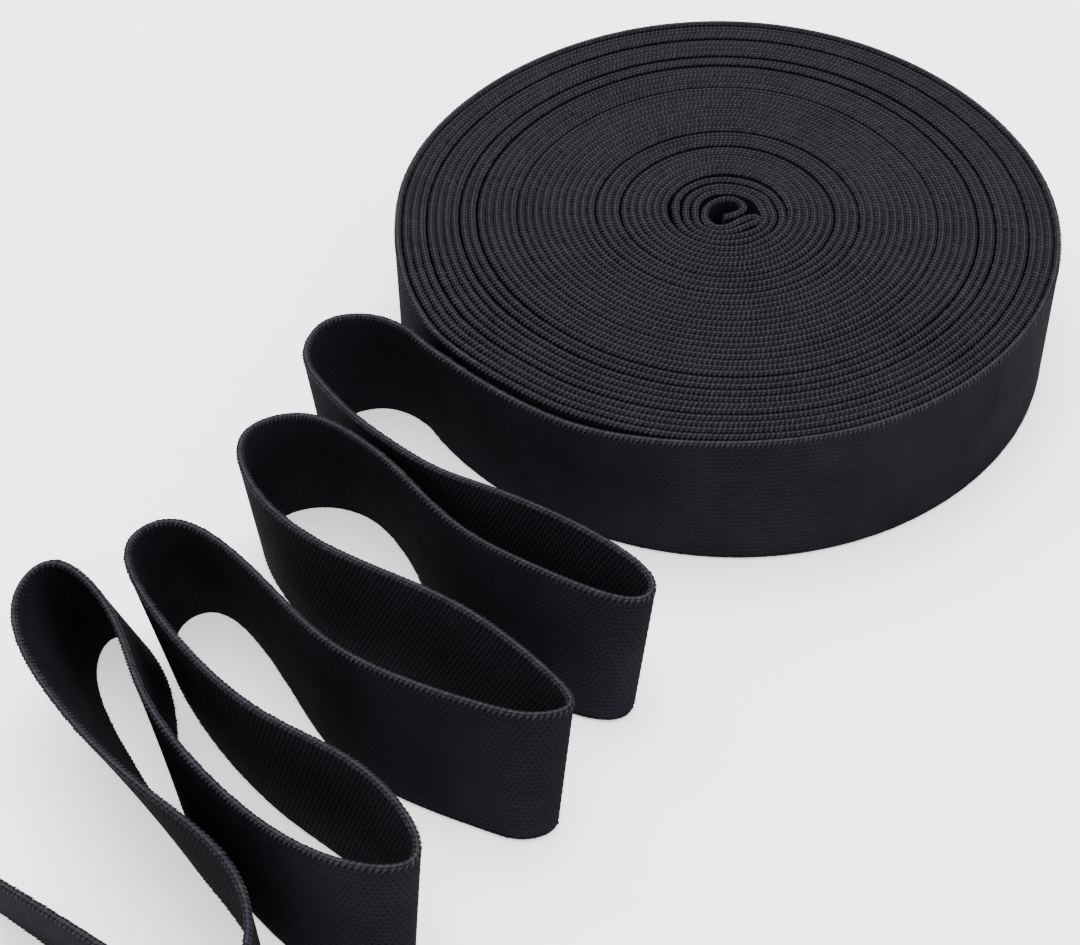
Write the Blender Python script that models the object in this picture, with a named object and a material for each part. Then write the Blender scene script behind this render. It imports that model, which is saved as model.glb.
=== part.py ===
"""A roll of flat knitted elastic. The tape is wound round a small squeezed eye, and its outer end snakes away on edge.

Millimetres are used for the driving dimensions and MM turns them to metres. +Z is up, the tape stands on its edge,
and the origin is under the middle of the whole piece.
"""

import bmesh
import bpy
import numpy as np

MM = 0.001

# The tape
TAPE_WIDTH = 25.0
TAPE_THICKNESS = 1.3
CLEARANCE = 0.35

# The wound part. Seen from above the tape runs clockwise towards its outer end.
ROLL_CENTRE = (26.66, 47.07)
ROLL_RADIUS = 55.8
EYE_RADIUS = 2.6
EYE_SQUEEZE = 0.25
EYE_TURN = 120.0
LEAVING_ANGLE = -148.0
END_STEP = TAPE_THICKNESS + CLEARANCE
EDGE_ROUNDING = 0.5
ROLL_SECTIONS = 96

# How far the rim stands out of round: how many lobes, their height, and the angle of the first
LOBES = (
    (2, 0.60, 83.0),
    (3, 0.35, 69.3),
    (4, 0.35, -3.7),
)

# Where the outer turns lean outwards: how far at the top, the angles where that starts and ends, and how far in
FLARE = 4.4
FLARE_ANGLES = (-174.0, -150.0, -122.0, -88.0)
FLARE_SPREAD = 7.0

# Grooves where a turn sits low between its neighbours: radius of the groove, its depth and its half width
GROOVES = (
    (9.3, 0.6, 1.0),
    (17.3, 0.7, 1.0),
    (22.3, 0.6, 1.0),
    (35.2, 0.4, 0.9),
    (42.6, 0.7, 1.0),
    (45.4, 0.7, 1.0),
    (50.3, 0.6, 1.0),
)

# The loose end's run, from the roll outwards, measured from the roll's centre: where its lower edge stands, and how
# far its upper edge leans from there. Each bend has a row as the tape goes in, at its tip and as it comes out.
RUN = (
    # x, y, lean_x, lean_y
    (-49.6, -24.4, -3.3, -4.2),
    (-54.8, -21.0, -1.6, -5.6),
    (-59.8, -21.1, -1.4, -4.7),
    (-63.5, -23.6, -1.6, -4.4),
    (-65.4, -30.0, -1.7, -4.6),
    (-61.8, -38.5, -2.0, -3.8),
    (-56.5, -44.5, -3.0, -3.7),
    (-50.2, -53.3, -3.0, -1.6),
    (-45.6, -59.3, -1.0, -1.3),
    (-39.5, -65.3, 0.5, 0.6),
    (-27.2, -73.4, 0.9, 1.1),
    (-18.0, -84.5, 2.5, 1.0),
    (-20.5, -88.0, 2.8, 1.0),
    (-33.0, -83.2, 2.0, 2.0),
    (-45.0, -71.0, 1.4, -0.8),
    (-49.2, -60.2, -2.4, -1.2),
    (-52.2, -53.6, -3.6, -2.6),
    (-57.3, -46.8, -4.0, -4.2),
    (-65.8, -43.8, -2.2, -4.8),
    (-73.2, -47.8, -1.5, -4.5),
    (-71.5, -60.0, -1.6, -3.5),
    (-60.0, -74.5, -1.0, -2.2),
    (-43.6, -87.3, 0.3, -0.2),
    (-32.2, -100.3, 1.5, 0.7),
    (-29.5, -107.3, 2.2, 1.3),
    (-33.5, -109.4, 1.8, 1.8),
    (-39.0, -107.8, 1.0, 1.5),
    (-56.0, -98.5, 0.0, 0.8),
    (-67.2, -82.6, -1.5, -1.9),
    (-80.0, -66.3, -3.5, -4.5),
    (-85.8, -70.0, -3.4, -4.2),
    (-82.0, -85.0, -3.4, -1.8),
    (-66.5, -105.3, -2.6, -0.9),
    (-52.5, -119.0, -0.8, 1.5),
    (-49.2, -132.3, 2.2, 1.8),
    (-57.0, -132.6, 1.3, 1.3),
    (-72.6, -118.0, 0.3, -1.8),
    (-82.0, -101.0, -2.2, -2.4),
    (-86.5, -80.5, -4.8, -6.3),
    (-94.5, -71.0, -6.0, -6.8),
    (-97.3, -77.0, -7.3, -6.8),
    (-89.5, -96.0, -7.4, -6.2),
    (-76.6, -116.2, -5.0, -3.5),
    (-67.7, -132.0, -0.5, -3.4),
    (-70.0, -146.4, -0.3, -3.0),
    (-84.0, -137.0, -3.4, -4.2),
    (-104.5, -120.5, -3.0, -7.0),
)
RUN_SECTIONS = 230


def smooth_run(rows, count):
    """Points spread evenly along the natural cubic spline through the rows, which bends no more than it must."""
    rows = np.array(rows, float)
    steps = np.sqrt(np.linalg.norm(np.diff(rows[:, :2], axis=0), axis=1))
    knots = np.concatenate([[0.0], np.cumsum(steps)])
    system = np.eye(len(rows))
    target = np.zeros_like(rows)
    for i in range(1, len(rows) - 1):
        before, after = steps[i - 1], steps[i]
        system[i, i - 1 : i + 2] = before, 2.0 * (before + after), after
        target[i] = 6.0 * ((rows[i + 1] - rows[i]) / after - (rows[i] - rows[i - 1]) / before)
    bending = np.linalg.solve(system, target)

    def at(knot):
        i = min(max(np.searchsorted(knots, knot) - 1, 0), len(steps) - 1)
        left, right, step = knot - knots[i], knots[i + 1] - knot, steps[i]
        return (
            (bending[i] * right**3 + bending[i + 1] * left**3) / (6.0 * step)
            + (rows[i] / step - bending[i] * step / 6.0) * right
            + (rows[i + 1] / step - bending[i + 1] * step / 6.0) * left
        )

    fine = np.array([at(knot) for knot in np.linspace(0.0, knots[-1], 12 * count)])
    travelled = np.concatenate([[0.0], np.cumsum(np.linalg.norm(np.diff(fine[:, :2], axis=0), axis=1))])
    even = np.linspace(0.0, travelled[-1], count)
    return np.stack([np.interp(even, travelled, column) for column in fine.T], axis=1)


def rim_radius(angle):
    """Outer radius of the roll at its foot. It steps in by one turn where the loose end leaves."""
    wound_back = (angle - np.radians(LEAVING_ANGLE)) % (2.0 * np.pi) / (2.0 * np.pi)
    lobes = sum(height * np.cos(count * (angle - np.radians(first))) for count, height, first in LOBES)
    return ROLL_RADIUS - END_STEP * wound_back + lobes


def rim_flare(angle):
    """How far the top of the outermost turn stands out past its foot."""
    turned = (np.degrees(angle) + 180.0) % 360.0 - 180.0
    share = np.interp(turned, FLARE_ANGLES, (0.0, 1.0, 1.0, 0.0))
    return FLARE * np.sin(0.5 * np.pi * share) ** 2


def eye_radius(angle):
    return EYE_RADIUS * (1.0 + EYE_SQUEEZE * np.cos(2.0 * (angle - np.radians(EYE_TURN))))


def face_rings():
    """The top face from the eye outwards, as (radius on a plain roll, depth below the tape's width)."""
    rings = [(EYE_RADIUS, EDGE_ROUNDING), (EYE_RADIUS + EDGE_ROUNDING, 0.0)]
    for radius, depth, half_width in GROOVES:
        rings += [(radius - half_width, 0.0), (radius, depth), (radius + half_width, 0.0)]
    return rings + [(ROLL_RADIUS - EDGE_ROUNDING, 0.0), (ROLL_RADIUS, EDGE_ROUNDING)]


def roll_section(angle):
    """The roll's closed section at one angle: up the eye, out over the top face, and down the rim."""
    inner, outer = eye_radius(angle), rim_radius(angle)
    stretch = (outer - inner) / (ROLL_RADIUS - EYE_RADIUS)
    outline = [(inner, 0.0)]
    for ring, depth in face_rings():
        flared = max(0.0, 1.0 - (ROLL_RADIUS - ring) / FLARE_SPREAD)
        outline.append((inner + stretch * (ring - EYE_RADIUS) + rim_flare(angle) * flared, TAPE_WIDTH - depth))
    outline += [(outer, 0.0)]
    return [
        (ROLL_CENTRE[0] + radius * np.cos(angle), ROLL_CENTRE[1] + radius * np.sin(angle), height)
        for radius, height in outline
    ]


def run_rows():
    """The whole run's rows. The first two are the outer turn's own curve, where the tape still follows the roll."""
    leaving = np.radians(LEAVING_ANGLE)
    radius = rim_radius(leaving) - TAPE_THICKNESS / 2.0
    gap_angle = CLEARANCE / radius
    rows = []
    for turned_on in (gap_angle, gap_angle + np.radians(2.0)):
        outwards = np.array([np.cos(leaving - turned_on), np.sin(leaving - turned_on)])
        rows.append((*(radius * outwards), *(FLARE * outwards)))
    return rows + list(RUN)


def tape_sections(run):
    """The tape's four corners at each place, from its lower edge to its upper edge, at its real width and thickness."""
    heading = np.gradient(run[:, :2], axis=0)
    heading /= np.linalg.norm(heading, axis=1)[:, None]
    across = np.stack([-heading[:, 1], heading[:, 0]], axis=1)
    sections = []
    for (x, y, lean_x, lean_y), side in zip(run, across):
        height = np.sqrt(TAPE_WIDTH**2 - lean_x**2 - lean_y**2)
        tilt = (lean_x * side[0] + lean_y * side[1]) / height
        half = TAPE_THICKNESS / 2.0 * np.sqrt(1.0 + tilt**2) * side
        low = np.array([x, y]) + ROLL_CENTRE
        high = low + (lean_x, lean_y)
        sections.append([(*(low - half), 0.0), (*(low + half), 0.0), (*(high + half), height), (*(high - half), height)])
    return sections


def loft(name, sections, closed):
    """One closed body through the sections, joined back to the first one or capped at both ends."""
    bm = bmesh.new()
    loops = [[bm.verts.new([MM * value for value in point]) for point in section] for section in sections]
    followers = loops[1:] + loops[:1] if closed else loops[1:]
    for loop, follower in zip(loops, followers):
        for i, vert in enumerate(loop):
            bm.faces.new((vert, follower[i], follower[i - 1], loop[i - 1]))
    if not closed:
        bm.faces.new(loops[0])
        bm.faces.new(loops[-1])
    bmesh.ops.recalc_face_normals(bm, faces=bm.faces)
    mesh = bpy.data.meshes.new(name)
    bm.to_mesh(mesh)
    bm.free()
    mesh.shade_smooth()
    mesh.set_sharp_from_angle(angle=np.radians(35.0))
    return bpy.data.objects.new(name, mesh)


def knitted_elastic(name, colour):
    """Dull charcoal yarn."""
    material = bpy.data.materials.new(name)
    material.use_nodes = True
    shader = material.node_tree.nodes["Principled BSDF"]
    shader.inputs["Base Color"].default_value = (*colour, 1.0)
    shader.inputs["Roughness"].default_value = 0.9
    shader.inputs["Metallic"].default_value = 0.0
    return material


def make_wound_roll():
    first = np.radians(LEAVING_ANGLE)
    step_width = CLEARANCE / ROLL_RADIUS
    angles = first + np.linspace(0.0, 2.0 * np.pi - step_width, ROLL_SECTIONS)
    roll = loft("wound_roll", [roll_section(angle) for angle in angles], closed=True)
    roll.data.materials.append(knitted_elastic("wound_elastic", (0.026, 0.027, 0.031)))
    return roll


def make_loose_end():
    run = smooth_run(run_rows(), RUN_SECTIONS)
    tape = loft("loose_end", tape_sections(run), closed=False)
    tape.data.materials.append(knitted_elastic("loose_elastic", (0.011, 0.011, 0.013)))
    return tape


def clear_scene():
    for obj in list(bpy.data.objects):
        bpy.data.objects.remove(obj, do_unlink=True)


def main():
    clear_scene()
    collection = bpy.data.collections.new("elastic_roll")
    bpy.context.scene.collection.children.link(collection)
    for piece in (make_wound_roll(), make_loose_end()):
        collection.objects.link(piece)


main()
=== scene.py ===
"""A roll of flat knitted elastic: every wound turn, the loose end in its bends, the stitches on both edges.

Lengths are in millimetres until a piece is finished, and MM turns them to metres. The roll's own tables are
measured from its centre. Along is the way outwards from the inner end, left is the outer side of the roll,
and up is +Z.
"""

import bmesh
import bpy
import numpy as np
from mathutils import Matrix, Vector


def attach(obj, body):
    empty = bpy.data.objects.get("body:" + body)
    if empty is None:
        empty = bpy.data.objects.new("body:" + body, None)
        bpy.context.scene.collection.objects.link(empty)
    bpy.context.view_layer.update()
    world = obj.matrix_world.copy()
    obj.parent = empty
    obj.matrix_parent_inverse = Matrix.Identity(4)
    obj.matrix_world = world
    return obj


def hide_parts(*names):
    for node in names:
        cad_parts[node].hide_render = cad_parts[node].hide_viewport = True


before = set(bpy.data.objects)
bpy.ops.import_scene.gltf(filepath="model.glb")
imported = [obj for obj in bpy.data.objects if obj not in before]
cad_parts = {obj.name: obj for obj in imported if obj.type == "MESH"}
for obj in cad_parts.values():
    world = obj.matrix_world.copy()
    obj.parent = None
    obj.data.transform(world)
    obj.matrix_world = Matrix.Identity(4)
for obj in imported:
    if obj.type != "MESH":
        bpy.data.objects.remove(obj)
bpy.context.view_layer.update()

MM = 0.001

# The tape: the cloth between its edge stitches, one knitted course along it and one rib across it
TAPE_WIDTH = 25.0
TAPE_THICKNESS = 1.3
CLOTH_THICKNESS = 1.06
CLEARANCE = 0.35
COURSE = 0.77
RIBS = 14
RIB_RELIEF = 0.07
PLAIN_EDGE = 0.8
# Under the stitches the cloth stops short of the tape's edge and thins to this much each side of its middle
EDGE_INSET = 0.16
EDGE_HALF = 0.36

# The wound part
ROLL_CENTRE = (26.66, 47.07)
ROLL_RADIUS = 55.8
OUTER_CENTRE = ROLL_RADIUS - TAPE_THICKNESS / 2.0
LEAVING_ANGLE = -148.0
TURN_PITCH = 1.276
INNER_TURNS = 34.356
SPLIT_TURN = 1.03

# How far the rim stands out of round: how many lobes, their height, and the angle of the first
LOBES = (
    (2, 0.60, 83.0),
    (3, 0.35, 69.3),
    (4, 0.35, -3.7),
)

# Where the winding opens and a turn sits low beside its outer neighbour
LOOSE_TURNS = (
    # turns in from the outer end, gap, dip
    (1, 0.10, 0.20),
    (4, 0.25, 0.40),
    (8, 0.28, 0.40),
    (10, 0.30, 0.45),
    (15, 0.15, 0.25),
    (25, 0.22, 0.35),
    (28, 0.28, 0.42),
)
# How far past that count of turns a gap starts, and how much of a turn it takes to open
GAP_PLACE = 0.13
GAP_RAMP = 0.18

# How low the turns stand, and the slow waves in it as they settled: height, waves in a radian of turn, start
WOUND_DROP = 0.06
SETTLING = (
    (0.03, 0.83, 1.0),
    (0.03, 1.31, 0.0),
    (0.03, 4.7, 2.0),
)
LOOSE_DROP = 0.05

# How far the upper edge leans outwards: on the outermost turn, then at the same place on the turns inside it,
# which lie close together and lean less and less
OUTERMOST_LEANS = (
    # degrees turned back from where the loose end leaves, lean
    (0, 4.2), (6, 3.4), (12, 3.0), (20, 2.8), (30, 2.8), (36, 2.35), (42, 1.6), (48, 0.9), (54, 0.4),
    (62, 0.0),
)  # fmt: skip
INNER_LEANS = (
    # degrees turned back from the same place, lean
    (-30, 0.0), (-20, 0.6), (-10, 1.6), (0, 2.5), (7, 2.1), (12, 1.75), (18, 1.45), (28, 1.45),
    (34, 1.15), (41, 1.0), (47, 0.75), (54, 0.25), (62, 0.0),
)  # fmt: skip
LEANING_TURNS = 10
# Degrees each way over which the tables are smoothed
LEAN_SMOOTHING = 5.0
# How much more the upper edge leans for each degree past where it leaves, and how long it follows the roll
LEAVING_RISE = 0.13
FOLLOWING = 2.0

# The squeezed eye: the inner end's curl, then the first turns round it, clockwise
EYE_CURL = (
    # x, y
    (-0.4, -1.6), (1.2, -1.0), (2.6, 0.0), (3.0, 1.2), (2.4, 2.5), (0.8, 3.3),
    (-1.0, 2.9), (-2.6, 1.6), (-3.4, -0.3), (-3.4, -2.3), (-2.3, -4.0), (-0.5, -4.3),
    (1.0, -3.5), (2.5, -2.4), (4.1, -1.6), (5.1, -1.8), (5.2, -2.7),
)  # fmt: skip
EYE_TURNS = (
    # angle, radius
    (-39, 5.35), (-67, 5.1), (-90, 5.6), (-114, 6.04), (-142, 5.85), (-169, 5.2),
    (-207, 5.2), (-240, 5.3), (-270, 5.3), (-302, 5.5), (-331, 5.95), (-355, 6.1),
    (-379, 6.8), (-403, 7.0), (-428, 6.8), (-450, 7.0), (-474, 7.3), (-502, 7.25),
    (-530, 6.7), (-567, 6.7), (-599, 6.75), (-630, 6.7), (-662, 6.8), (-691, 7.4),
    (-717, 7.5), (-737, 8.1), (-762, 8.3), (-786, 8.3), (-810, 8.4), (-834, 8.6),
    (-864, 8.6), (-891, 8.3), (-925, 8.5), (-959, 8.6), (-990, 8.6), (-1022, 8.7),
    (-1051, 9.0), (-1076, 9.2),
)  # fmt: skip
EYE_DROP = 0.15
# Degrees of the first wound turn over which the eye's turns run into it
JOINING = (0.0, 25.0, 50.0)

# The loose end's run, from the roll outwards: where its lower edge stands, and how far its upper edge leans
RUN = (
    # x, y, lean_x, lean_y
    (-49.6, -24.4, -3.1, -3.9),
    (-54.8, -21.0, -1.6, -5.1),
    (-59.8, -21.1, -1.4, -4.7),
    (-63.5, -23.6, -1.6, -4.4),
    (-65.4, -30.0, -1.7, -4.6),
    (-61.8, -38.5, -2.0, -3.8),
    (-56.5, -44.5, -3.0, -3.7),
    (-50.2, -53.3, -3.0, -1.6),
    (-45.6, -59.3, -1.0, -1.3),
    (-39.5, -65.3, 0.5, 0.6),
    (-27.2, -73.4, 0.9, 1.1),
    (-18.0, -84.5, 2.5, 1.0),
    (-20.5, -88.0, 2.8, 1.0),
    (-33.0, -83.2, 2.0, 2.0),
    (-45.0, -71.0, 1.4, -0.8),
    (-49.2, -60.2, -2.4, -1.2),
    (-52.2, -53.6, -3.6, -2.6),
    (-57.3, -46.8, -4.0, -4.2),
    (-65.8, -43.8, -2.2, -4.8),
    (-73.2, -47.8, -1.5, -4.5),
    (-71.5, -60.0, -1.6, -3.5),
    (-60.0, -74.5, -1.0, -2.2),
    (-43.6, -87.3, 0.3, -0.2),
    (-32.2, -100.3, 1.5, 0.7),
    (-29.5, -107.3, 2.2, 1.3),
    (-33.5, -109.4, 1.8, 1.8),
    (-39.0, -107.8, 1.0, 1.5),
    (-56.0, -98.5, 0.0, 0.8),
    (-67.2, -82.6, -1.5, -1.9),
    (-80.0, -66.3, -3.5, -4.5),
    (-85.8, -70.0, -3.4, -4.2),
    (-82.0, -85.0, -3.4, -1.8),
    (-66.5, -105.3, -2.6, -0.9),
    (-52.5, -119.0, -0.8, 1.5),
    (-49.2, -132.3, 2.2, 1.8),
    (-57.0, -132.6, 1.3, 1.3),
    (-72.6, -118.0, 0.3, -1.8),
    (-82.0, -101.0, -2.2, -2.4),
    (-86.5, -80.5, -4.8, -6.3),
    (-94.5, -71.0, -6.0, -6.8),
    (-97.3, -77.0, -7.3, -6.8),
    (-89.5, -96.0, -7.4, -6.2),
    (-76.6, -116.2, -5.0, -3.5),
    (-67.7, -132.0, -0.5, -3.4),
    (-70.0, -146.4, -0.3, -3.0),
    (-84.0, -137.0, -3.4, -4.2),
    (-104.5, -120.5, -3.0, -7.0),
)

# One edge stitch, from its foot on the outer face over the edge to its foot on the other. Its columns: across
# the tape, above the edge, half its width along the tape, and how proud of the cloth its yarn stands
FULL_STITCH = (
    (0.49, -0.78, 0.09, 0.03),
    (0.53, -0.48, 0.14, 0.08),
    (0.49, -0.24, 0.19, 0.09),
    (0.30, -0.06, 0.34, 0.05),
    (0.00, 0.02, 0.43, 0.04),
    (-0.30, -0.06, 0.40, 0.04),
    (-0.51, -0.26, 0.32, 0.06),
    (-0.54, -0.50, 0.24, 0.06),
    (-0.49, -0.78, 0.12, 0.03),
)
WOUND_STITCH = (
    (0.50, -0.80, 0.10, 0.03),
    (0.60, -0.38, 0.17, 0.10),
    (0.43, -0.12, 0.24, 0.08),
    (0.00, 0.00, 0.42, 0.04),
    (-0.43, -0.12, 0.41, 0.05),
    (-0.61, -0.38, 0.34, 0.07),
    (-0.50, -0.80, 0.16, 0.03),
)
FOOT_STITCH = (
    (0.54, -0.60, 0.14, 0.06),
    (0.36, -0.06, 0.36, 0.07),
    (-0.36, -0.06, 0.36, 0.07),
    (-0.54, -0.60, 0.14, 0.06),
)
# The yarn's section: along the tape and outwards, in half widths and in how proud it stands
ROUND_YARN = ((-1.0, 0.1), (-0.6, 0.8), (0.0, 1.0), (0.6, 0.8), (1.0, 0.1))
PLAIN_YARN = ((-1.0, 0.1), (0.0, 1.0), (1.0, 0.1))
# How far the two feet are moved along the tape, one each way
STITCH_SLANT = 0.42
# How much stitches differ: their spacing, their size and their shade
STITCH_WANDER = 0.025
STITCH_UNEVENNESS = 0.05
SHADE_SPREAD = 0.45
STITCH_DEPTH = 1.2

# How closely the tape's run is worked out, as counts of points
EYE_POINTS = 700
SPIRAL_POINTS = 16000
OUTER_TURN_POINTS = 1400
RUN_POINTS = 2600
# The strips' sections: the bend in radians from one to the next, then how close and how far apart they may be
SECTION_BEND = 0.12
INNER_SPACING = (0.5, 2.5)
OUTER_SPACING = (0.45, 2.0)

# The lights and the camera, in metres
ROOM_STRENGTH = 1.6
LIGHTS = (
    # name, place, aim, size, power, colour
    ("overhead_box", (-0.05, 0.25, 1.3), (0.0, 0.0, 0.0), 1.2, 36.0, "#ffffff"),
    ("right_box", (0.62, -0.80, 0.50), (0.03, 0.0, 0.0), 0.7, 3.0, "#fffdfb"),
)
CAMERA_LENS = 77.6
CAMERA_PLACE = (-0.00435, -0.25887, 0.26105)
CAMERA_TILT = 45.905
CAMERA_ROLL = -0.487
FLOOR_SIZE = 3.0
FLOOR_GAP = 0.0002


def linear(code):
    """An sRGB hex colour as the linear values that a shader takes."""
    values = np.array([int(code[i : i + 2], 16) for i in (1, 3, 5)]) / 255.0
    return (*np.where(values <= 0.04045, values / 12.92, ((values + 0.055) / 1.055) ** 2.4), 1.0)


def add(tree, kind, settings=(), links=()):
    """One node, with its properties or sockets set and its inputs linked."""
    node = tree.nodes.new("ShaderNode" + kind)
    for name, value in dict(settings).items():
        if isinstance(name, int) or name in node.inputs:
            node.inputs[name].default_value = value
        else:
            setattr(node, name, value)
    for name, output in dict(links).items():
        tree.links.new(output, node.inputs[name])
    return node


# ---------------------------------------------------------------- where the tape runs


def smooth_run(rows, count):
    """Points spread evenly along the natural cubic spline through the rows, the one that bends least."""
    rows = np.array(rows, float)
    steps = np.sqrt(np.linalg.norm(np.diff(rows[:, :2], axis=0), axis=1))
    knots = np.concatenate([[0.0], np.cumsum(steps)])
    system = np.eye(len(rows))
    target = np.zeros_like(rows)
    for i in range(1, len(rows) - 1):
        before, after = steps[i - 1], steps[i]
        system[i, i - 1 : i + 2] = before, 2.0 * (before + after), after
        target[i] = 6.0 * ((rows[i + 1] - rows[i]) / after - (rows[i] - rows[i - 1]) / before)
    bending = np.linalg.solve(system, target)
    knot = np.linspace(0.0, knots[-1], 6 * count)
    i = np.clip(np.searchsorted(knots, knot) - 1, 0, len(steps) - 1)
    left, right, step = (values[:, None] for values in (knot - knots[i], knots[i + 1] - knot, steps[i]))
    fine = (
        (bending[i] * right**3 + bending[i + 1] * left**3) / (6.0 * step)
        + (rows[i] / step - bending[i] * step / 6.0) * right
        + (rows[i + 1] / step - bending[i + 1] * step / 6.0) * left
    )
    travelled = np.concatenate([[0.0], np.cumsum(np.linalg.norm(np.diff(fine[:, :2], axis=0), axis=1))])
    even = np.linspace(0.0, travelled[-1], count)
    return np.stack([np.interp(even, travelled, column) for column in fine.T], axis=1)


def lobes(angle):
    return sum(height * np.cos(count * (angle - np.radians(first))) for count, height, first in LOBES)


def eased(share):
    share = np.clip(share, 0.0, 1.0)
    return share * share * (3.0 - 2.0 * share)


def turn_lean(degrees):
    """The upper edge's lean, its tables smoothed over a few degrees."""
    spread = np.linspace(-LEAN_SMOOTHING, LEAN_SMOOTHING, 11)
    weights = np.cos(0.5 * np.pi * spread / (LEAN_SMOOTHING + 1.0)) ** 2
    leans = []
    for turned in degrees + spread[:, None]:
        outermost = np.interp(turned, *np.array(OUTERMOST_LEANS).T)
        inner = np.interp((turned + 180.0) % 360.0 - 180.0, *np.array(INNER_LEANS).T)
        left = np.clip(1.0 - (turned / 360.0 - 1.0) / LEANING_TURNS, 0.0, 1.0)
        leans.append(np.where(turned < 180.0, outermost, inner * left))
    return np.tensordot(weights / weights.sum(), leans, axes=1)


def turn_rows(turned):
    """The wound tape's x, y, lean_x, lean_y and drop, by radians back from where the loose end leaves."""
    angle = np.radians(LEAVING_ANGLE) + turned
    turns = turned / (2.0 * np.pi)
    radius = OUTER_CENTRE - TURN_PITCH * turns
    drop = WOUND_DROP + sum(height * np.sin(waves * turned + start) for height, waves, start in SETTLING)
    for turn, gap, dip in LOOSE_TURNS:
        past = turns - turn - GAP_PLACE
        radius -= gap * eased(past / GAP_RAMP)
        drop += dip * np.sin(np.pi * np.clip(past, 0.0, 1.0)) ** 2
    radius += lobes(angle) * radius / OUTER_CENTRE
    lean = turn_lean(np.degrees(turned))
    outwards = np.stack([np.cos(angle), np.sin(angle)], axis=1)
    return np.column_stack([radius[:, None] * outwards, lean[:, None] * outwards, drop])


def inner_rows():
    """From the inner end through the eye and all the inner turns."""
    first = 2.0 * np.pi * INNER_TURNS
    angle, radius = np.array(EYE_TURNS, float).T
    curl = [(x, y, 0.0, 0.0, EYE_DROP) for x, y in EYE_CURL]
    still, drop = np.zeros_like(angle), np.full_like(angle, EYE_DROP)
    turns = np.column_stack(
        [radius * np.cos(np.radians(angle)), radius * np.sin(np.radians(angle)), still, still, drop]
    )
    joining = turn_rows(first - np.radians(JOINING))
    eye = smooth_run(np.concatenate([curl, turns, joining]), EYE_POINTS)
    spiral = turn_rows(np.linspace(first - np.radians(JOINING[-1]), 2.0 * np.pi * SPLIT_TURN, SPIRAL_POINTS))
    return np.concatenate([eye, spiral[1:]])


def outer_rows():
    """The outermost turn, then the loose end."""
    turn = turn_rows(np.linspace(2.0 * np.pi * SPLIT_TURN, 0.0, OUTER_TURN_POINTS))
    leaving = np.radians(LEAVING_ANGLE)
    radius = OUTER_CENTRE + lobes(leaving)
    begun = CLEARANCE / radius
    lean = turn_lean(np.zeros(1))[0]
    follows = []
    for turned_on in (begun, begun + np.radians(FOLLOWING)):
        outwards = np.array([np.cos(leaving - turned_on), np.sin(leaving - turned_on)])
        leaning = lean + LEAVING_RISE * np.degrees(turned_on)
        follows.append((*(radius * outwards), *(leaning * outwards), turn[-1, 4]))
    run = smooth_run(follows + [(*row, LOOSE_DROP) for row in RUN], RUN_POINTS)
    return np.concatenate([turn, run])


def laid_path(rows):
    """How far along each row is, its foot, the ways its width and its left side point, and its drop."""
    steps = np.linalg.norm(np.diff(rows[:, :2], axis=0), axis=1)
    rows = rows[np.concatenate([[True], steps > 1e-4])]
    along = np.concatenate([[0.0], np.cumsum(np.linalg.norm(np.diff(rows[:, :2], axis=0), axis=1))])
    foot = np.column_stack([rows[:, :2] + ROLL_CENTRE, np.zeros(len(rows))])
    lean = rows[:, 2:4]
    up = np.column_stack([lean, np.sqrt(TAPE_WIDTH**2 - (lean**2).sum(axis=1))]) / TAPE_WIDTH
    heading = np.gradient(foot, along, axis=0)
    left = np.cross(up, heading)
    left /= np.linalg.norm(left, axis=1)[:, None]
    return np.column_stack([along, foot, up, left, rows[:, 4]])


def on_path(path, along, across, height):
    """Points on the tape, from how far along it they are, how far to the left and how high up its width."""
    columns = np.stack([np.interp(along, path[:, 0], column) for column in path[:, 1:].T], axis=1)
    foot, up, left, drop = columns[:, :3], columns[:, 3:6], columns[:, 6:9], columns[:, 9]
    risen = height * (1.0 - drop / TAPE_WIDTH)
    return foot + left * across[:, None] + up * risen[:, None]


def stations(path, finest, coarsest):
    """Lengths along the path, closer together where it bends more."""
    heading = np.gradient(path[:, 1:3], path[:, 0], axis=0)
    bend = np.linalg.norm(np.gradient(heading, path[:, 0], axis=0), axis=1)
    bend = np.convolve(np.pad(bend, 4, mode="edge"), np.ones(9) / 9.0, mode="valid")
    spacing = np.clip(SECTION_BEND / np.maximum(bend, 1e-6), finest, coarsest)
    passed = np.concatenate([[0.0], np.cumsum(np.diff(path[:, 0]) / spacing[1:])])
    return np.interp(np.linspace(0.0, passed[-1], int(passed[-1]) + 2), passed, path[:, 0])


# ---------------------------------------------------------------- pieces


def wrapped_grid(columns, outline_points):
    """A flat grid whose long sides will meet, and each of its points' column and place on the outline."""
    bm = bmesh.new()
    bmesh.ops.create_grid(bm, x_segments=columns - 1, y_segments=outline_points, size=0.5)
    flat = np.array([vert.co[:2] for vert in bm.verts]) + 0.5
    column = np.rint(flat[:, 0] * (columns - 1)).astype(int)
    place = np.rint(flat[:, 1] * outline_points).astype(int) % outline_points
    return bm, column, place


def closed_tube(bm, points):
    """Puts the grid's points in place, joins its seam, fills both ends and turns its faces outwards."""
    for vert, point in zip(bm.verts, points.tolist()):
        vert.co = point
    bmesh.ops.remove_doubles(bm, verts=bm.verts, dist=1e-7)
    bmesh.ops.holes_fill(bm, edges=[edge for edge in bm.edges if edge.is_boundary], sides=0)
    bmesh.ops.recalc_face_normals(bm, faces=bm.faces)


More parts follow.
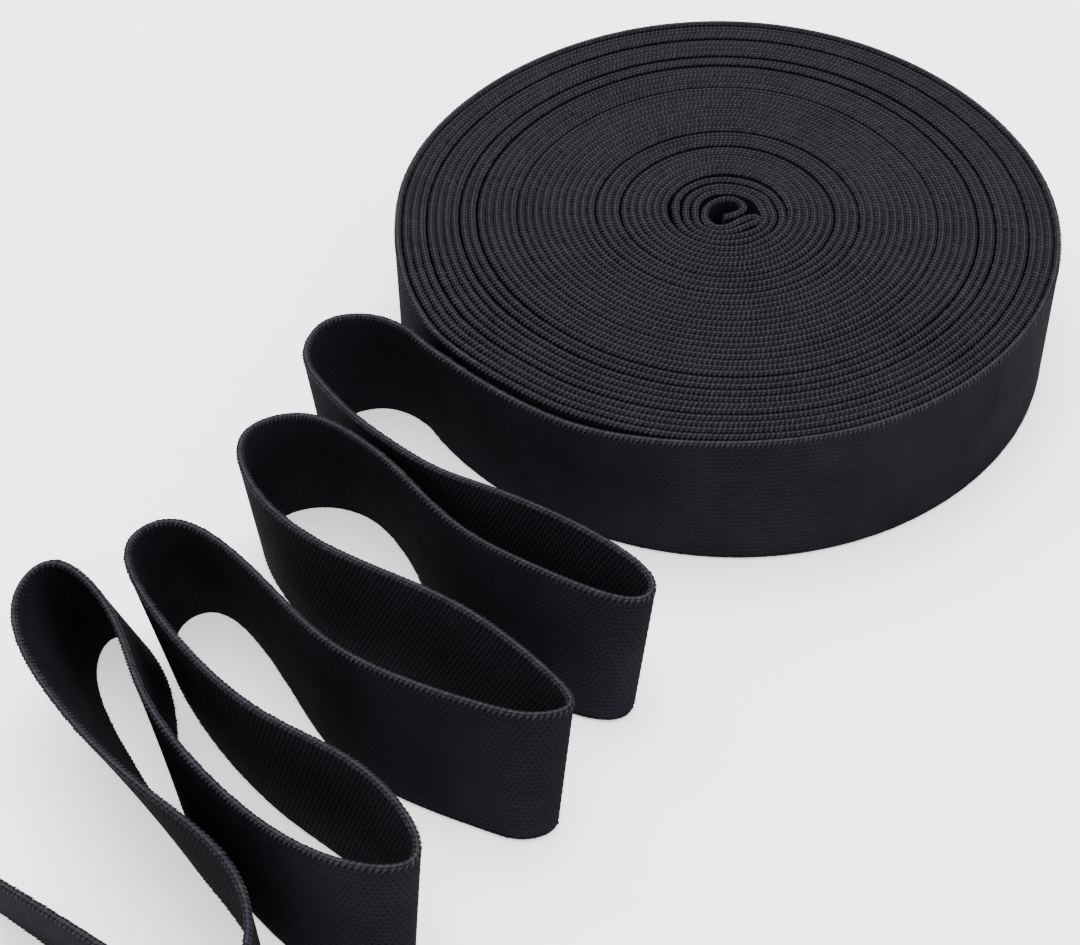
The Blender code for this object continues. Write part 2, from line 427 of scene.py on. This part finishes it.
def cloth_outline(ribbed):
    """The tape's section, as across and height: plain, or with its lengthwise ribs on both faces."""
    half = CLOTH_THICKNESS / 2.0
    low, high = PLAIN_EDGE, TAPE_WIDTH - PLAIN_EDGE
    if ribbed:
        heights = np.linspace(low, high, 2 * RIBS + 1)
        widths = half - RIB_RELIEF * (np.arange(2 * RIBS + 1) % 2 == 0)
    else:
        heights, widths = np.array([low, high]), np.array([half, half])
    heights = np.concatenate([[EDGE_INSET], heights, [TAPE_WIDTH - EDGE_INSET]])
    widths = np.concatenate([[EDGE_HALF], widths, [EDGE_HALF]])
    side = np.column_stack([widths, heights])
    return np.concatenate([side, side[::-1] * (-1.0, 1.0)])


def finished(name, mesh, material):
    mesh.shade_smooth()
    mesh.materials.append(material)
    piece = bpy.data.objects.new(name, mesh)
    bpy.context.scene.collection.objects.link(piece)
    return piece


def tape_piece(name, path, spacing, ribbed, material):
    """The knitted strip. Its attributes tell the yarn where it is: along, up the width, and on which face."""
    lengths, outline = stations(path, *spacing), cloth_outline(ribbed)
    bm, column, place = wrapped_grid(len(lengths), len(outline))
    along, (across, height) = lengths[column], outline[place].T
    marks = {"along": along, "height": height, "side": across / CLOTH_THICKNESS * 2.0}
    for mark, values in marks.items():
        layer = bm.verts.layers.float.new(mark)
        for vert, value in zip(bm.verts, values.tolist()):
            vert[layer] = value
    closed_tube(bm, MM * on_path(path, along, across, height))
    mesh = bpy.data.meshes.new(name)
    bm.to_mesh(mesh)
    bm.free()
    return finished(name, mesh, material)


def stitch_shape(rows, yarn):
    """One stitch over an edge, as its points (along, across, above the edge) and its triangles."""
    rows, yarn = np.array(rows), np.array(yarn)
    bm, column, place = wrapped_grid(len(rows), len(yarn))
    across, above, half_width, proud = rows[column].T
    outward = np.gradient(rows[:, :2], axis=0)[:, ::-1] * (-1.0, 1.0)
    outward *= np.sign((outward * (rows[:, :2] + (0.0, 0.6))).sum(axis=1))[:, None]
    outward /= np.linalg.norm(outward, axis=1)[:, None]
    lifted = (proud * yarn[place, 1])[:, None] * outward[column]
    slant = -STITCH_SLANT * np.linspace(-1.0, 1.0, len(rows))[column]
    along = half_width * yarn[place, 0] + slant
    closed_tube(bm, np.column_stack([along, across + lifted[:, 0], above + lifted[:, 1]]))
    bmesh.ops.triangulate(bm, faces=bm.faces)
    bm.verts.index_update()
    shape = np.array([vert.co for vert in bm.verts])
    triangles = np.array([[vert.index for vert in face.verts] for face in bm.faces])
    bm.free()
    return shape, triangles


def stitch_piece(name, path, stretch, rows, yarn, material, upper, seed):
    """The stitches over one edge of a stretch of the tape, one to a course, each a little unlike the next."""
    start, end = stretch
    shape, triangles = stitch_shape(rows, yarn)
    count = int(round((end - start) / COURSE))
    random = np.random.default_rng(seed)
    centres = start + (np.arange(count) + 0.5) * (end - start) / count
    centres = centres + random.normal(0.0, STITCH_WANDER, count)
    size = random.normal(1.0, STITCH_UNEVENNESS, (count, 3)).clip(0.85, 1.15)
    shade = 0.5 + 0.5 * np.clip(random.normal(0.0, SHADE_SPREAD, count), -1.0, 1.0)
    placed = shape[None] * size[:, None]
    along = (centres[:, None] + placed[:, :, 0]).clip(path[0, 0], path[-1, 0]).ravel()
    across, above = placed[:, :, 1].ravel(), placed[:, :, 2].ravel()
    height = TAPE_WIDTH - EDGE_INSET + above if upper else EDGE_INSET - above
    points = MM * on_path(path, along, across, height)
    turned = triangles if upper else triangles[:, ::-1]
    faces = (turned[None] + (len(shape) * np.arange(count))[:, None, None]).reshape(-1, 3)
    mesh = bpy.data.meshes.new(name)
    mesh.from_pydata(points.tolist(), [], faces.tolist())
    # shade is each stitch's own random tone; depth, how far below the edge, sets the painted shade at the
    # feet
    marks = {"shade": np.repeat(shade, len(shape)), "depth": np.clip(-above, 0.0, STITCH_DEPTH)}
    for mark, values in marks.items():
        mesh.attributes.new(mark, "FLOAT", "POINT").data.foreach_set("value", values.astype(np.float32))
    return finished(name, mesh, material)


# ---------------------------------------------------------------- yarn


def textured_yarn(name, roughness, sheen, specular):
    """A material with a dull yarn shader, for a colour and a bump to be linked to."""
    material = bpy.data.materials.new(name)
    material.use_nodes = True
    tree = material.node_tree
    shader = tree.nodes["Principled BSDF"]
    shader.inputs["Metallic"].default_value = 0.0
    shader.inputs["Roughness"].default_value = roughness
    shader.inputs["IOR"].default_value = 1.5
    shader.inputs["Specular IOR Level"].default_value = specular
    shader.inputs["Sheen Weight"].default_value = sheen
    shader.inputs["Sheen Roughness"].default_value = 0.55
    shader.inputs["Sheen Tint"].default_value = linear("#b9bcc6")
    return material, tree, shader


def knitted_polyester(name):
    """Dull spun polyester knitted over rubber: small dark openings on the outer face, small raised purl dots
    on the inner face, both at the real course and rib spacing, and a slight unevenness in the dye."""
    material, tree, shader = textured_yarn(name, roughness=0.95, sheen=0.0, specular=0.01)
    along = add(tree, "Attribute", {"attribute_name": "along"}).outputs["Fac"]
    height = add(tree, "Attribute", {"attribute_name": "height"}).outputs["Fac"]
    side = add(tree, "Attribute", {"attribute_name": "side"}).outputs["Fac"]
    rib = (TAPE_WIDTH - 2.0 * PLAIN_EDGE) / RIBS
    outer = add(tree, "Math", {"operation": "GREATER_THAN", 1: 0.0}, {0: side}).outputs[0]
    course = add(tree, "Math", {"operation": "DIVIDE", 1: COURSE}, {0: along}).outputs[0]
    raised = add(tree, "Math", {"operation": "SUBTRACT", 1: PLAIN_EDGE}, {0: height}).outputs[0]

    place = add(tree, "TexCoord").outputs["Object"]
    dye = add(tree, "TexNoise", {"Scale": 90.0, "Detail": 3.0}, {"Vector": place}).outputs[0]
    fibre = add(tree, "TexNoise", {"Scale": 5200.0, "Detail": 2.0}, {"Vector": place}).outputs[0]

    # Outside, dark openings stand in rows half a rib apart, one to a course, each row half a course along.
    up = add(tree, "Math", {"operation": "DIVIDE", 1: rib / 2.0}, {0: raised}).outputs[0]
    row = add(tree, "Math", {"operation": "ROUND"}, {0: up}).outputs[0]
    drift = add(tree, "Math", {"operation": "MULTIPLY_ADD", 1: 0.5}, {0: row, 2: course}).outputs[0]
    wandering = add(tree, "Math", {"operation": "MULTIPLY_ADD", 1: 0.9}, {0: dye, 2: drift}).outputs[0]
    from_opening = add(tree, "Math", {"operation": "PINGPONG", 1: 0.5}, {0: wandering}).outputs[0]
    from_row = add(tree, "Math", {"operation": "PINGPONG", 1: 0.5}, {0: up}).outputs[0]
    soft = {"interpolation_type": "SMOOTHSTEP"}
    beside = add(tree, "MapRange", {**soft, "From Min": 0.10, "From Max": 0.34}, {"Value": from_opening})
    between = add(tree, "MapRange", {**soft, "From Min": 0.06, "From Max": 0.26}, {"Value": from_row})
    closed = {0: beside.outputs[0], 1: between.outputs[0]}
    outside = add(tree, "Math", {"operation": "MAXIMUM"}, closed).outputs[0]

    # Inside, purl dots stand in rows half a rib apart, each row half a course along from the next.
    across = add(tree, "Math", {"operation": "DIVIDE", 1: rib}, {0: raised}).outputs[0]
    first = add(tree, "Math", {"operation": "ADD"}, {0: course, 1: across}).outputs[0]
    second = add(tree, "Math", {"operation": "SUBTRACT"}, {0: course, 1: across}).outputs[0]
    lattice = add(tree, "CombineXYZ", {}, {"X": first, "Y": second}).outputs[0]
    dots = add(
        tree,
        "TexVoronoi",
        {"voronoi_dimensions": "2D", "feature": "F1", "Scale": 1.0, "Randomness": 0.16},
        {"Vector": lattice},
    )
    inside = add(
        tree, "MapRange", {**soft, "From Min": 0.46, "From Max": 0.14}, {"Value": dots.outputs["Distance"]}
    ).outputs[0]

    outer_colour = add(
        tree, "Mix", {"data_type": "RGBA", 6: linear("#0c0c0f"), 7: linear("#17171b")}, {0: outside}
    ).outputs[2]
    inner_colour = add(
        tree, "Mix", {"data_type": "RGBA", 6: linear("#131316"), 7: linear("#232328")}, {0: inside}
    ).outputs[2]
    colour = add(tree, "Mix", {"data_type": "RGBA"}, {0: outer, 6: inner_colour, 7: outer_colour}).outputs[2]
    middle = {"From Min": 0.3, "From Max": 0.7}
    fading = add(tree, "MapRange", {**middle, "To Min": 0.82, "To Max": 1.18}, {"Value": dye})
    specks = add(tree, "MapRange", {**middle, "To Min": 0.75, "To Max": 1.25}, {"Value": fibre})
    uneven = add(tree, "Math", {"operation": "MULTIPLY"}, {0: fading.outputs[0], 1: specks.outputs[0]})
    dyed = add(tree, "VectorMath", {"operation": "SCALE"}, {0: colour, "Scale": uneven.outputs[0]}).outputs[0]
    tree.links.new(dyed, shader.inputs["Base Color"])

    relief = add(tree, "Mix", {"data_type": "FLOAT"}, {0: outer, 2: inside, 3: outside}).outputs[0]
    rough = add(tree, "Math", {"operation": "MULTIPLY_ADD", 1: 0.25}, {0: fibre, 2: relief}).outputs[0]
    bump = add(tree, "Bump", {"Strength": 1.0, "Distance": 0.04 * MM}, {"Height": rough}).outputs[0]
    tree.links.new(bump, shader.inputs["Normal"])
    return material


def edge_yarn(name, dark, light, feet):
    """Bulky textured polyester looped over the edge: painted paler than the cloth, a painted highlight where
    it stands up and catches the light, a little fuzzy, each loop its own random tone, and darkened by painted
    shade down at its feet, to the share feet."""
    material, tree, shader = textured_yarn(name, roughness=0.80, sheen=0.02, specular=0.08)
    shade = add(tree, "Attribute", {"attribute_name": "shade"}).outputs["Fac"]
    depth = add(tree, "Attribute", {"attribute_name": "depth"}).outputs["Fac"]
    place = add(tree, "TexCoord").outputs["Object"]
    fibre = add(tree, "TexNoise", {"Scale": 6500.0, "Detail": 3.0}, {"Vector": place}).outputs[0]
    mixed = add(tree, "Math", {"operation": "MULTIPLY_ADD", 1: 0.55, 2: 0.02}, {0: shade}).outputs[0]
    fuzzy = add(tree, "Math", {"operation": "MULTIPLY_ADD", 1: 0.45}, {0: fibre, 2: mixed}).outputs[0]
    # Painted highlight: both yarn colours are paler than the cloth's, standing for loops that rise into the
    # light
    colour = add(tree, "Mix", {"data_type": "RGBA", 6: linear(dark), 7: linear(light)}, {0: fuzzy}).outputs[2]
    # Painted shade: the yarn's colour darkens from just below the edge down to its feet, to the share feet
    down = {"From Min": 0.06, "From Max": 0.55, "To Min": 1.0, "To Max": feet}
    painted_foot_shade = add(tree, "MapRange", down, {"Value": depth})
    dyed = add(tree, "VectorMath", {"operation": "SCALE"}, {0: colour, "Scale": painted_foot_shade.outputs[0]}).outputs[0]
    tree.links.new(dyed, shader.inputs["Base Color"])
    bump = add(tree, "Bump", {"Strength": 0.8, "Distance": 0.05 * MM}, {"Height": fibre}).outputs[0]
    tree.links.new(bump, shader.inputs["Normal"])
    return material


# ---------------------------------------------------------------- the studio


def soft_box(name, place, aim, size, power, colour):
    """A square soft light, aimed at a point."""
    light = bpy.data.lights.new(name, "AREA")
    light.shape, light.size, light.energy = "SQUARE", size, power
    light.color = linear(colour)[:3]
    lamp = bpy.data.objects.new(name, light)
    lamp.location = place
    lamp.rotation_euler = (Vector(aim) - Vector(place)).to_track_quat("-Z", "Y").to_euler()
    bpy.context.scene.collection.objects.link(lamp)


def studio():
    scene = bpy.context.scene
    world = bpy.data.worlds.new("soft_white_room")
    world.use_nodes = True
    world.node_tree.nodes["Background"].inputs["Color"].default_value = linear("#fbfcff")
    world.node_tree.nodes["Background"].inputs["Strength"].default_value = ROOM_STRENGTH
    scene.world = world
    for light in LIGHTS:
        soft_box(*light)

    bm = bmesh.new()
    bmesh.ops.create_grid(bm, x_segments=1, y_segments=1, size=FLOOR_SIZE)
    mesh = bpy.data.meshes.new("white_floor")
    bm.to_mesh(mesh)
    bm.free()
    # The table is white acrylic, lit a little from below, as a product is photographed.
    material = bpy.data.materials.new("lit_white_acrylic")
    material.use_nodes = True
    shader = material.node_tree.nodes["Principled BSDF"]
    shader.inputs["Base Color"].default_value = linear("#ffffff")
    shader.inputs["Roughness"].default_value = 0.9
    shader.inputs["Specular IOR Level"].default_value = 0.1
    shader.inputs["Emission Color"].default_value = linear("#ffffff")
    shader.inputs["Emission Strength"].default_value = 0.8
    floor = finished("white_floor", mesh, material)
    floor.location.z = -FLOOR_GAP

    camera = bpy.data.cameras.new("camera")
    camera.lens, camera.sensor_width, camera.sensor_fit = CAMERA_LENS, 36.0, "AUTO"
    camera.clip_start, camera.clip_end = 0.01, 20.0
    eye = bpy.data.objects.new("camera", camera)
    tilt = Matrix.Rotation(np.radians(CAMERA_TILT), 4, "X")
    roll = Matrix.Rotation(np.radians(CAMERA_ROLL), 4, "Z")
    eye.matrix_world = Matrix.Translation(CAMERA_PLACE) @ (tilt @ roll)
    scene.collection.objects.link(eye)
    scene.camera = eye


def main():
    studio()
    cloth = knitted_polyester("spun_polyester_knit")
    # One edge yarn in two copies; the last number is the share of colour left at the stitch feet by the
    # painted shade
    wound_yarn = edge_yarn("textured_yarn_wound", "#1c1b1e", "#313035", 0.75)
    loose_yarn = edge_yarn("textured_yarn_loose", "#17171a", "#2f2f34", 0.45)

    inner, outer = laid_path(inner_rows()), laid_path(outer_rows())
    inner_end, outer_end = inner[-1, 0], outer[-1, 0]
    half = COURSE * round(0.5 * inner_end / COURSE)

    inner_tape = tape_piece("inner_turns", inner, INNER_SPACING, False, cloth)
    outer_tape = tape_piece("outer_turn_and_loose_end", outer, OUTER_SPACING, True, cloth)
    wound = (PLAIN_YARN, wound_yarn)
    inner_stitches = [
        stitch_piece("inner_upper_stitches_a", inner, (0.0, half), WOUND_STITCH, *wound, True, 1),
        stitch_piece("inner_upper_stitches_b", inner, (half, inner_end), WOUND_STITCH, *wound, True, 2),
        stitch_piece("inner_lower_stitches", inner, (0.0, inner_end), FOOT_STITCH, *wound, False, 3),
    ]
    whole = (0.0, outer_end)
    outer_stitches = [
        stitch_piece("outer_upper_stitches", outer, whole, FULL_STITCH, ROUND_YARN, loose_yarn, True, 4),
        stitch_piece("outer_lower_stitches", outer, whole, FOOT_STITCH, PLAIN_YARN, loose_yarn, False, 5),
    ]
    for tape, stitches, length, node in (
        (inner_tape, inner_stitches, inner_end, "wound_roll"),
        (outer_tape, outer_stitches, outer_end, "loose_end"),
    ):
        for piece in (tape, *stitches):
            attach(piece, "root")
            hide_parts(node)
        print(tape.name, round(float(length), 1), "mm")


main()
